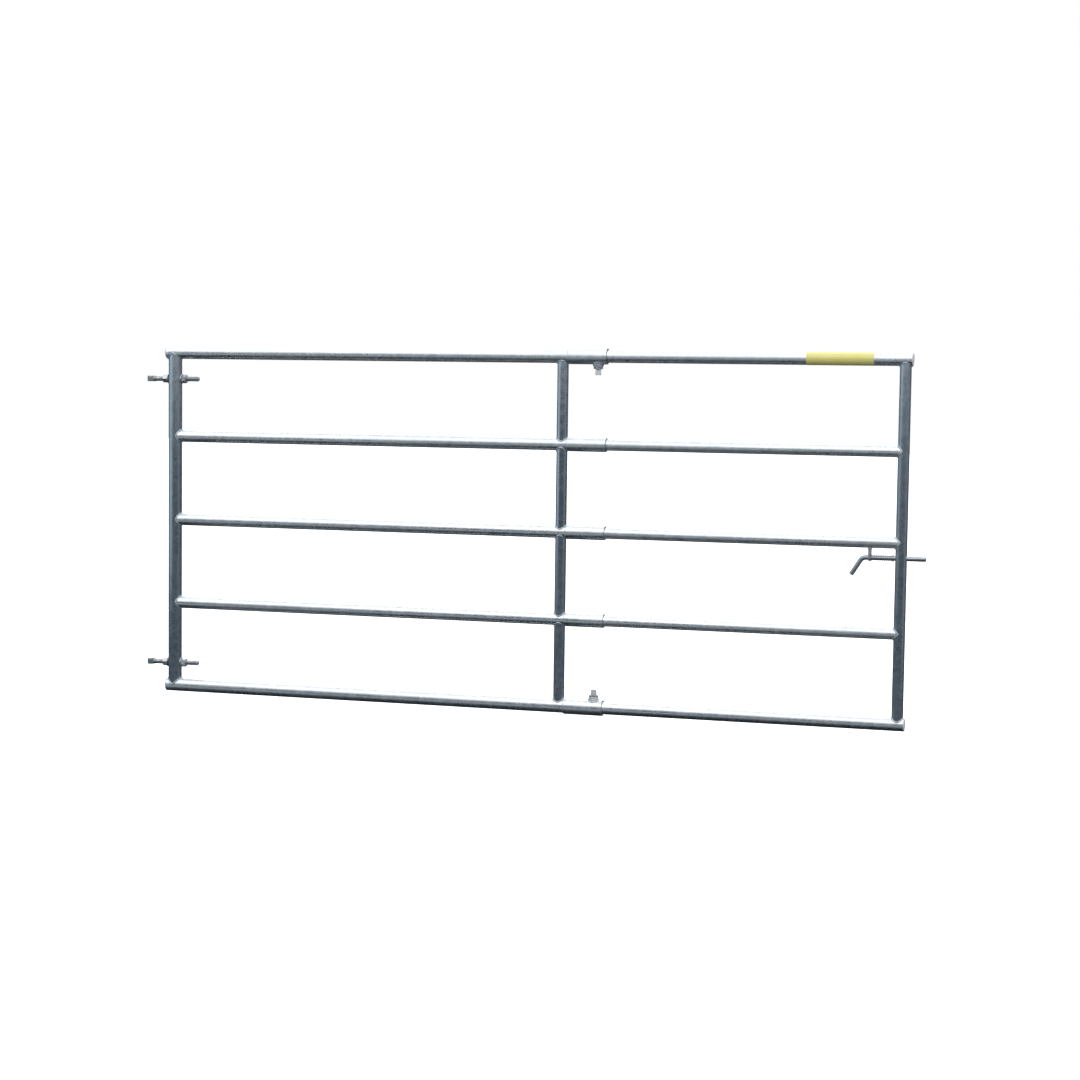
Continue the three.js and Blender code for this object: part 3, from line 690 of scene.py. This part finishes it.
# ------------------------------------------------------------------ lock nuts and screws
for row, sign in (("bottom", 1), ("top", -1)):
    x = centre(f"{row}_lock_nut")[0]
    lo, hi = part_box(f"{row}_lock_nut")
    far = (hi[2] if sign > 0 else lo[2]) - Z[row]
    top = abs(far) / MM
    R = size(f"{row}_guide_sleeve")[1] / 2 / MM
    foot = R - 4.2
    height = top - foot
    at = np.array([x, 0, Z[row] + sign * MM * (foot + height / 2)])
    o = hex_nut(f"lock_nut_{row}", at, "z", 24, height, 7.2, "bolt", top=sign > 0, bottom=sign < 0, turn=-0.30)
    stands_for(o, f"{row}_lock_nut")
    # weld collar: a full cone of weld from the sleeve up the nut, laid in three rounds
    rng = np.random.default_rng(40 + len(row))
    wobble = rng.uniform(0, TAU, 6)
    P, n = [], 180
    for i in range(n):
        a = TAU * i / n
        radial = np.array([math.cos(a), math.sin(a), 0])
        pts = []
        for v in np.linspace(0, 1, 25):
            rr = 17.4 - 4.3 * v ** 0.85
            scallop = 0.75 * abs(math.sin(3 * math.pi * v + 0.25 * math.sin(2 * a + wobble[0]))) ** 0.7
            ripple = 0.14 * math.sin(34 * a + wobble[1 + int(min(2, v * 3))] + 5 * v)
            sway = 0.25 * math.sin(3 * a + wobble[4]) + 0.15 * math.sin(7 * a + wobble[5])
            q = rr + scallop + ripple + sway * (0.4 + v)
            foot_h = math.sqrt(max((R - 0.2) ** 2 - (q * math.sin(a)) ** 2, 0.0))
            h = foot_h + (R + 9.2 + 0.5 * math.sin(4 * a + wobble[2]) - foot_h) * v
            pts.append((q, h))
        low = math.sqrt(max((R - 0.2) ** 2 - (11.5 * math.sin(a)) ** 2, 0.0))
        pts += [(12.2, R + 8.6), (11.5, R + 5.0), (11.5, low)]
        P.append([np.array([x, 0, Z[row]]) + MM * (q * radial + sign * h * np.array([0, 0, 1.0])) for q, h in pts])
    verts, faces = grid(np.array(P), close_v=True)
    b = build(f"weld_lock_nut_{row}", verts, faces, "weld", 60)
    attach(b, "hinge_frame")
    # screw: threaded shank and a square head with a turned chamfer
    lo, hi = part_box(f"{row}_lock_screw")
    tip = abs((lo[2] if sign > 0 else hi[2]) - Z[row]) / MM
    end = abs((hi[2] if sign > 0 else lo[2]) - Z[row]) / MM
    base = np.array([x, 0, Z[row]])
    head0 = end - 16
    shank = threaded(f"lock_shank_{row}", base, "z", 7.85, sign * tip if sign > 0 else -(head0 + 1), sign * (head0 + 1) if sign > 0 else -tip, "screw",
                     chamfer0=1.6 if sign > 0 else 0.0, chamfer1=0.0 if sign > 0 else 1.6)
    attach(shank, BODY[f"{row}_lock_screw"])
    P, n, half = [], 96, 8.5
    turn = 0.30 if row == "top" else 0.36
    for i in range(n):
        a = TAU * i / n
        local = (a + math.pi / 4) % (math.pi / 2) - math.pi / 4
        corner = half / math.cos(local)
        corner = min(corner, half * 1.33)
        radial = np.array([math.cos(a + turn), math.sin(a + turn), 0])
        chamfer = max(0.0, (corner - half * 0.98)) * math.tan(math.radians(32))
        row_pts = [
            (7.6, head0), (half * 0.96, head0), (corner - 0.25, head0 + 0.5 * chamfer), (corner, head0 + 0.5 * chamfer + 0.35),
            (corner, end - chamfer - 0.5), (corner - 0.3, end - chamfer * 0.9 - 0.1), (half * 0.94, end), (half * 0.5, end + 0.0),
        ]
        P.append([base + MM * (r * radial + sign * s * np.array([0, 0, 1.0])) for r, s in row_pts])
    P = np.array(P)
    verts, faces = grid(P)
    k, m = P.shape[1], len(verts)
    verts = list(verts) + [base + MM * sign * (head0 - 0.0) * np.array([0, 0, 1.0]), base + MM * sign * end * np.array([0, 0, 1.0])]
    for i in range(n):
        j = (i + 1) % n
        faces.append((m, j * k, i * k))
        faces.append((m + 1, i * k + k - 1, j * k + k - 1))
    head = build(f"lock_head_{row}", verts, faces, "screw", 24)
    stands_for(head, f"{row}_lock_screw")

# ------------------------------------------------------------------ latch
lug_lo, lug_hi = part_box("latch_lug")
bolt_lo, bolt_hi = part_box("latch_bolt")
BZ = centre("bolt_pin")[2]
PIN_X = centre("bolt_pin")[0]
LUG_W = (lug_hi[1] - lug_lo[1]) / 2 / MM

# lug: plate with eased edges, a round foot and the bolt's hole, saddled onto the rail
rail_z = Z["middle"]
up = (rail_z - BZ) / MM
n_foot, outer = 28, []
R = R_SLIDE["middle"] + 0.1
for i in range(n_foot + 1):
    a = math.pi + math.pi * i / n_foot
    outer.append((LUG_W * math.cos(a), LUG_W * math.sin(a)))
for t in np.linspace(0.12, 1.0, 8):
    top = up - math.sqrt(R * R - LUG_W * LUG_W)
    outer.append((LUG_W, top * t))
for i in range(1, 20):
    y = LUG_W * (1 - 2 * i / 20)
    outer.append((y, up - math.sqrt(R * R - y * y)))
for t in np.linspace(1.0, 0.12, 8):
    outer.append((-LUG_W, top * t))
outer = np.array(outer)
hole = []
for y, z in outer:
    a = math.atan2(z, y)
    hole.append((7.6 * math.cos(a), 7.6 * math.sin(a)))
hole = np.array(hole)
x0, x1 = lug_lo[0] / MM, lug_hi[0] / MM
inner_dir = outer / np.linalg.norm(outer, axis=1)[:, None]
ease = 0.7
P = []
for (y, z), (hy, hz), q in zip(outer, hole, inner_dir):
    sy, sz = y - q[0] * ease, z - q[1] * ease
    gy, gz = hy * (7.6 + 0.5) / 7.6, hz * (7.6 + 0.5) / 7.6
    row = [(x0 + 0.5, hy, hz), (x0, gy, gz), (x0, sy, sz), (x0 + 0.3 * ease, y - 0.3 * q[0] * ease, z - 0.3 * q[1] * ease), (x0 + ease, y, z),
           (x1 - ease, y, z), (x1 - 0.3 * ease, y - 0.3 * q[0] * ease, z - 0.3 * q[1] * ease), (x1, sy, sz), (x1, gy, gz), (x1 - 0.5, hy, hz)]
    P.append([(MM * a, MM * b, BZ + MM * c) for a, b, c in row])
verts, faces = grid(np.array(P), close_v=True)
lug = build("lug_plate", verts, faces, "plate", 28)
stands_for(lug, "latch_lug")
# its welds: a run along each side of the plate, on the rail's underside
for side, x in (("hinge", x0), ("latch", x1)):
    pts, ups = [], []
    for i in range(70):
        y = LUG_W * (1 - 2 * i / 69) * 0.96
        z = -math.sqrt((R + 0.6) ** 2 - y * y)
        pts.append([x + (-0.5 if side == "hinge" else 0.5), y, rail_z / MM + z])
        ups.append(np.array([0, y, z]) / math.hypot(y, z))
    pts = np.array(pts)
    radii = [MM * 2.1 * (0.86 + 0.16 * math.sqrt(max(0, 1 - (1.3 * ((i / 3.4) % 1.0) - 0.45) ** 2))) * min(1.0, 0.35 + i / 5, 0.35 + (69 - i) / 5) for i in range(70)]
    Pw = sweep(MM * pts, radii, False, 10, np.array(ups))
    verts, faces = grid(Pw, cap0=True, cap1=True)
    o = build(f"weld_lug_{side}", verts, faces, "weld", 60)
    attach(o, "slide_frame")

# bolt: one bent bar, its nose chamfered and its handle's end rounded
r = 7.0
tip_x = bolt_hi[0] / MM
bz = BZ / MM
radius_bend = 18.0
handle_dx, handle_dz = -32.0, -50.8
L = math.hypot(handle_dx, handle_dz)
out_dir = np.array([handle_dx / L, 0, handle_dz / L])
turn = math.acos(-out_dir[0])
tangent = radius_bend * math.tan(turn / 2)
corner_x = (bolt_lo[0] / MM + r * abs(out_dir[2])) + 32.0
pts, radii = [], []
for s, q in ((0.0, 4.6), (0.25, 5.0), (2.6, 6.75), (3.2, 6.95), (4.0, 7.0)):
    pts.append([tip_x - s, 0, bz])
    radii.append(q)
straight_end = corner_x + tangent
for t in np.linspace(0.03, 1.0, 24):
    pts.append([tip_x - 4 + (straight_end - tip_x + 4) * t, 0, bz])
    radii.append(r)
for i in range(1, 15):
    a = math.pi / 2 + turn * i / 14
    pts.append([straight_end + radius_bend * math.cos(a), 0, bz - radius_bend + radius_bend * math.sin(a)])
    radii.append(r)
start = np.array(pts[-1])
rest = L - tangent
for t in np.linspace(0.1, 1.0, 8):
    pts.append(start + out_dir * (rest - 2.2) * t)
    radii.append(r)
for s, q in ((0.8, 6.85), (1.5, 6.3), (2.0, 5.4), (2.2, 4.4)):
    pts.append(start + out_dir * (rest - 2.2 + s))
    radii.append(q)
Pb = sweep(MM * np.array(pts), [MM * q for q in radii], False, 40, np.tile(np.array([0, 1.0, 0]), (len(pts), 1)))
verts, faces = grid(Pb, cap0=True, cap1=True)
bolt = build("latch_bar", verts, faces, "bar", 30)
stands_for(bolt, "latch_bolt")

# cross pin: a slotted spring pin
d, e, f = AXES["y"]
pin_half = size("bolt_pin")[1] / 2 / MM
at = centre("bolt_pin")
P = []
open_half = 0.28
angles = np.linspace(open_half, TAU - open_half, 30)
sect = [(2.0, a) for a in angles] + [(1.25, a) for a in angles[::-1]]
for s, k in ((-pin_half, 0.86), (-pin_half + 0.7, 1.0), (pin_half - 0.7, 1.0), (pin_half, 0.86)):
    P.append([at + MM * ((q * k if q > 1.5 else q) * (math.cos(a) * e + math.sin(a) * f) + s * d) for q, a in sect])
P = np.transpose(np.array(P), (1, 0, 2))
verts, faces = grid(P)
n_out = len(angles)
for end_v, order in ((0, 1), (3, -1)):
    for i in range(n_out - 1):
        q = [i * 4 + end_v, (i + 1) * 4 + end_v, (2 * n_out - 2 - i) * 4 + end_v, (2 * n_out - 1 - i) * 4 + end_v]
        faces.append(q[::order])
pin = build("cross_pin", verts, faces, "pin", 40)
stands_for(pin, "bolt_pin")

node = "spring_washer"
o = washer("spring_seat_washer", centre(node), "x", size(node)[1] / 2 / MM, 7.5, size(node)[0] / MM, "pin")
stands_for(o, node)

# spring: closed and ground at both ends
lo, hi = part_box("latch_spring")
wire = 0.8
mean = (hi[2] - lo[2]) / 2 / MM - wire
x_a, x_b = lo[0] / MM + wire, hi[0] / MM - wire
turns, per, close = 12.0, 36, 1.75
count = int(turns * per)
pts, ups, radii = [], [], []
for i in range(count + 1):
    u = i / per
    span = x_b - x_a - 2 * close
    if u < 1:
        x = x_a + close * u
    elif u > turns - 1:
        x = x_b - close * (turns - u)
    else:
        q = (u - 1) / (turns - 2)
        ease_in = q + 0.018 * math.sin(TAU * q)
        x = x_a + close + span * ease_in
    a = TAU * u + 0.6
    pts.append([x, mean * math.sin(a), bz + mean * math.cos(a)])
    ups.append([0, math.sin(a), math.cos(a)])
    radii.append(MM * wire * (0.72 if i in (0, count) else 1.0))
Ps = sweep(MM * np.array(pts), radii, False, 12, np.array(ups))
verts, faces = grid(Ps, cap0=True, cap1=True)
spring = build("latch_coil", verts, faces, "spring", 50)
stands_for(spring, "latch_spring")
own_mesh(spring)

# ------------------------------------------------------------------ label band
lo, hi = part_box("label_band")
ro = (hi[1] - lo[1]) / 2 / MM
x0, x1 = lo[0] / MM, hi[0] / MM
P = []
n = 120
seam = 2.25  # where the film laps over itself, round the back
for i in range(n + 6):
    a = seam + TAU * i / n
    lap = 0.16 if i > n else (0.16 * max(0.0, (i - n + 4) / 4) if i > n - 4 else 0.0)
    inner, outer_r = ro - 0.34 + lap, ro - 0.14 + lap
    radial = np.array([0, math.cos(a), math.sin(a)])
    wave = 0.25 * math.sin(3 * a) + 0.12 * math.sin(11 * a)
    row = [(x0 + 0.2 + wave, outer_r), (x0 + 0.5 + wave, outer_r + 0.04)]
    row += [(x0 + (x1 - x0) * t, outer_r + 0.05 + 0.035 * math.sin(9 * t + 2 * a)) for t in np.linspace(0.05, 0.95, 14)]
    row += [(x1 - 0.5 + 0.6 * wave, outer_r + 0.04), (x1 - 0.2 + 0.6 * wave, outer_r), (x1 - 0.2 + 0.6 * wave, inner), (x0 + 0.2 + wave, inner)]
    P.append([np.array([MM * s, 0, Z["top"]]) + MM * q * radial for s, q in row])
P = np.array(P)
verts, faces = grid(P, close_u=False, close_v=True)
k = P.shape[1]
faces.append(list(range(k))[::-1])
faces.append([(len(P) - 1) * k + v for v in range(k)])
label = build("label_film", verts, faces, "label", 40)
stands_for(label, "label_band")

# ------------------------------------------------------------------ floor, light and camera
FLOOR_Z = CAD_LO[2] - 0.14
bpy.ops.mesh.primitive_plane_add(size=60, location=(1.2, 0, FLOOR_Z))
floor = bpy.context.object
floor.name = "floor"
fm = Nodes("pale_floor")
fm.set(Roughness=0.9, Metallic=0.0)
fm.bsdf.inputs["Base Color"].default_value = (0.86, 0.86, 0.86, 1)
fm.bsdf.inputs["Emission Color"].default_value = (1, 1, 1, 1)
fm.bsdf.inputs["Emission Strength"].default_value = 0.45
floor.data.materials.append(fm.mat)
floor.visible_glossy = False
floor.visible_diffuse = False
floor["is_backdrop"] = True

world = bpy.data.worlds.new("studio")
bpy.context.scene.world = world
world.use_nodes = True
wt = world.node_tree
wt.nodes.clear()
w_out = wt.nodes.new("ShaderNodeOutputWorld")
w_geo = wt.nodes.new("ShaderNodeTexCoord")
w_sep = wt.nodes.new("ShaderNodeSeparateXYZ")
wt.links.new(w_geo.outputs["Generated"], w_sep.inputs[0])


def w_ramp(stops, value):
    r = wt.nodes.new("ShaderNodeValToRGB")
    r.color_ramp.interpolation = "EASE"
    while len(r.color_ramp.elements) < len(stops):
        r.color_ramp.elements.new(0.5)
    for el, (p, c) in zip(r.color_ramp.elements, stops):
        el.position = p
        el.color = (*c, 1)
    wt.links.new(value, r.inputs[0])
    return r.outputs[0]


def w_range(value, a, b, c, d):
    n = wt.nodes.new("ShaderNodeMapRange")
    for k, v in zip(("From Min", "From Max", "To Min", "To Max"), (a, b, c, d)):
        n.inputs[k].default_value = v
    wt.links.new(value, n.inputs["Value"])
    return n.outputs[0]


def stop(elevation):
    return (math.sin(math.radians(elevation)) + 1) / 2


# dark straight below, a lit band of floor, dim along the horizon, and brighter from well above it: the softboxes fill in between
height = w_range(w_sep.outputs["Z"], -1, 1, 0, 1)
sky = w_ramp(
    [(0.0, (0.009, 0.013, 0.016)), (stop(-43), (0.010, 0.015, 0.019)), (stop(-28), (0.24, 0.265, 0.29)), (stop(-19.5), (0.43, 0.465, 0.50)), (stop(-13.5), (0.030, 0.037, 0.043)), (stop(5), (0.048, 0.064, 0.076)), (stop(16), (0.19, 0.21, 0.225)), (stop(28), (0.52, 0.54, 0.56)), (stop(48), (1.0, 1.0, 1.0))],
    height,
)
lit = wt.nodes.new("ShaderNodeBackground")
lit.inputs["Strength"].default_value = 1.75
wt.links.new(sky, lit.inputs[0])
seen = wt.nodes.new("ShaderNodeBackground")
seen.inputs[0].default_value = (1, 1, 1, 1)
seen.inputs[1].default_value = 1.0
path = wt.nodes.new("ShaderNodeLightPath")
both = wt.nodes.new("ShaderNodeMixShader")
wt.links.new(path.outputs["Is Camera Ray"], both.inputs[0])
wt.links.new(lit.outputs[0], both.inputs[1])
wt.links.new(seen.outputs[0], both.inputs[2])
wt.links.new(both.outputs[0], w_out.inputs[0])



def softbox(name, at, aim, width, tall, radiance, colour=(1.0, 1.0, 1.0)):
    light = bpy.data.lights.new(name, "AREA")
    light.shape = "RECTANGLE"
    light.size, light.size_y = width, tall
    light.energy = radiance * math.pi * width * tall
    light.color = colour
    o = bpy.data.objects.new(name, light)
    o.location = at
    o.rotation_euler = (Vector(aim) - Vector(at)).to_track_quat("-Z", "Y").to_euler()
    o.visible_camera = False
    bpy.context.scene.collection.objects.link(o)


TOP = Z["top"]
# long boxes in front and behind, their lower edges just above the top rail
softbox("front_softbox", (1.2, -2.2, TOP + 1.33), (1.2, 0, TOP + 1.33), 9.0, 2.3, 1.05)
softbox("back_softbox", (1.2, 2.4, TOP + 1.45), (1.2, 0, TOP + 1.45), 9.0, 2.3, 1.05)
# a cooler one low on the hinge side
softbox("side_softbox", (-3.0, -1.9, TOP + 0.22), (0.9, 0, TOP + 0.22), 3.4, 2.5, 0.60, (0.74, 0.90, 1.0))
# a weak one past the latch end, for the faces that look that way
softbox("end_softbox", (5.6, -0.4, TOP - 0.1), (2.4, 0, TOP - 0.4), 2.2, 2.6, 0.20, (0.90, 0.95, 1.0))

# camera: solved on the rails and uprights, with the small roll of the real view
cam = bpy.data.cameras.new("camera")
cam.sensor_width = 36.0
cam.lens = 2224.5 / 1080 * 36.0
cam.clip_end = 100
cam_o = bpy.data.objects.new("camera", cam)
az, el, roll = 0.288290, 0.072128, 0.013103
back = Vector((math.sin(az) * math.cos(el), -math.cos(az) * math.cos(el), math.sin(el)))
right = Vector((math.cos(az), math.sin(az), 0))
upv = back.cross(right)
right, upv = right * math.cos(roll) + upv * math.sin(roll), upv * math.cos(roll) - right * math.sin(roll)
rot = Matrix((right, upv, back)).transposed()
cam_o.matrix_world = Matrix.Translation(Vector((3.114036 + HINGE_X, -6.426541, 0.985269 + Z["bottom"]))) @ rot.to_4x4()
bpy.context.scene.collection.objects.link(cam_o)
bpy.context.scene.camera = cam_o
bpy.context.scene.view_settings.view_transform = "Standard"
bpy.context.scene.view_settings.look = "None"
